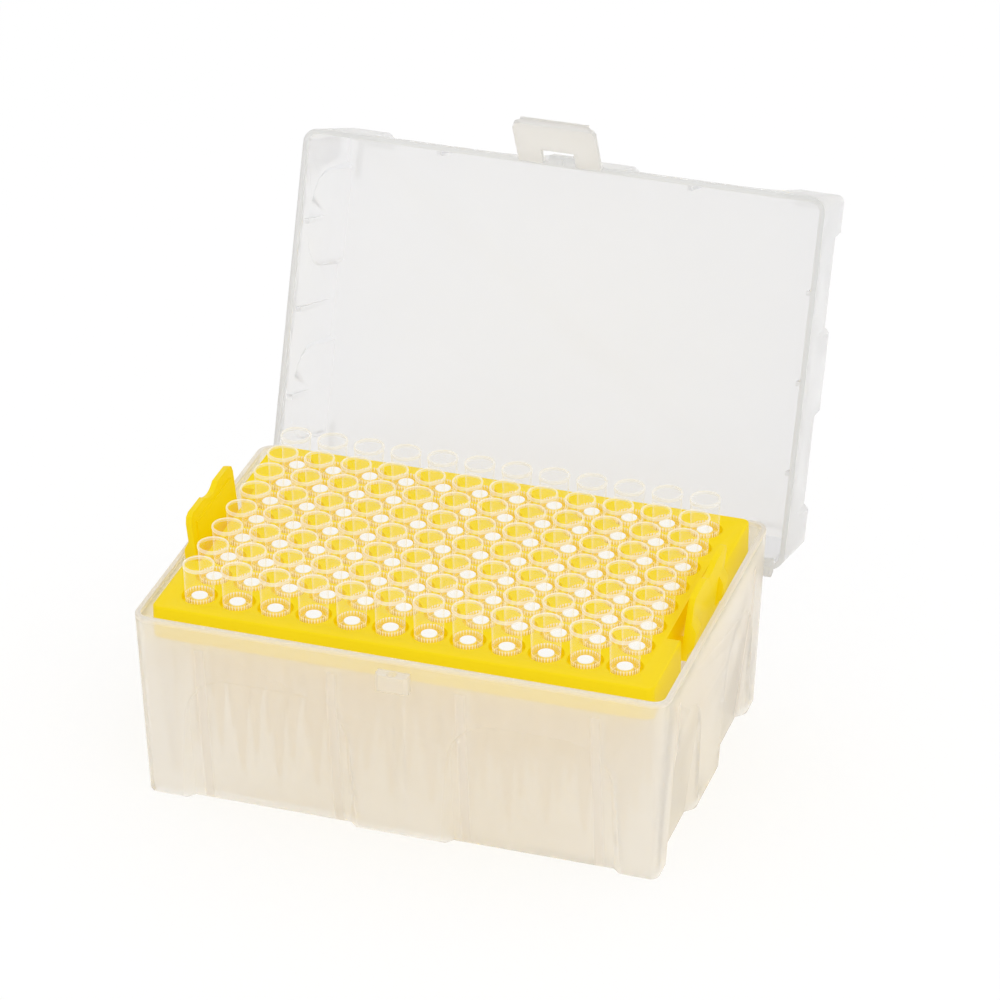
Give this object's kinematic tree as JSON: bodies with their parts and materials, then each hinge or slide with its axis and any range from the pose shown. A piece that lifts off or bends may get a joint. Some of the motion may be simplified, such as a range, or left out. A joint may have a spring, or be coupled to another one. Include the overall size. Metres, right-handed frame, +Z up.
{
  "type": "box of pipette tips",
  "caption": "Hinged translucent plastic box, lid open, with a yellow tray that holds a grid of filter pipette tips.",
  "frame": {"origin": "centre of the base box's foot plane", "axes": "+X along the long side, to the right as the catch is faced; +Y towards the hinge; +Z up"},
  "size_m": [0.1272, 0.15, 0.1254],
  "materials": {
    "base_plastic": "translucent satin polypropylene",
    "lid_plastic": "translucent satin polypropylene",
    "flap_plastic": "translucent satin polypropylene",
    "tray_plastic": "satin polypropylene",
    "tip_plastic": "clear polypropylene",
    "filter_plastic": "porous white polyethylene"
  },
  "bodies": {
    "base": {"base_box": "base_plastic", "tip_tray": "tray_plastic", "tips_column_01": "tip_plastic", "tips_column_02": "tip_plastic", "tips_column_03": "tip_plastic", "tips_column_04": "tip_plastic", "tips_column_05": "tip_plastic", "tips_column_06": "tip_plastic", "tips_column_07": "tip_plastic", "tips_column_08": "tip_plastic", "tips_column_09": "tip_plastic", "tips_column_10": "tip_plastic", "tips_column_11": "tip_plastic", "tips_column_12": "tip_plastic", "filters_column_01": "filter_plastic", "filters_column_02": "filter_plastic", "filters_column_03": "filter_plastic", "filters_column_04": "filter_plastic", "filters_column_05": "filter_plastic", "filters_column_06": "filter_plastic", "filters_column_07": "filter_plastic", "filters_column_08": "filter_plastic", "filters_column_09": "filter_plastic", "filters_column_10": "filter_plastic", "filters_column_11": "filter_plastic", "filters_column_12": "filter_plastic"},
    "lid": {"lid": "lid_plastic"},
    "latch": {"latch_flap": "flap_plastic"}
  },
  "joints": [
    {"name": "lid_hinge", "type": "hinge", "parent": "base", "child": "lid", "pos_m": [0, 0.0415, 0.0355], "axis": [1, 0, 0], "range_deg": [0, 110]},
    {"name": "latch_hinge", "type": "hinge", "parent": "lid", "child": "latch", "pos_m": [0, 0.07908, 0.11257], "axis": [1, 0, 0], "range_deg": [-90, 45]}
  ]
}
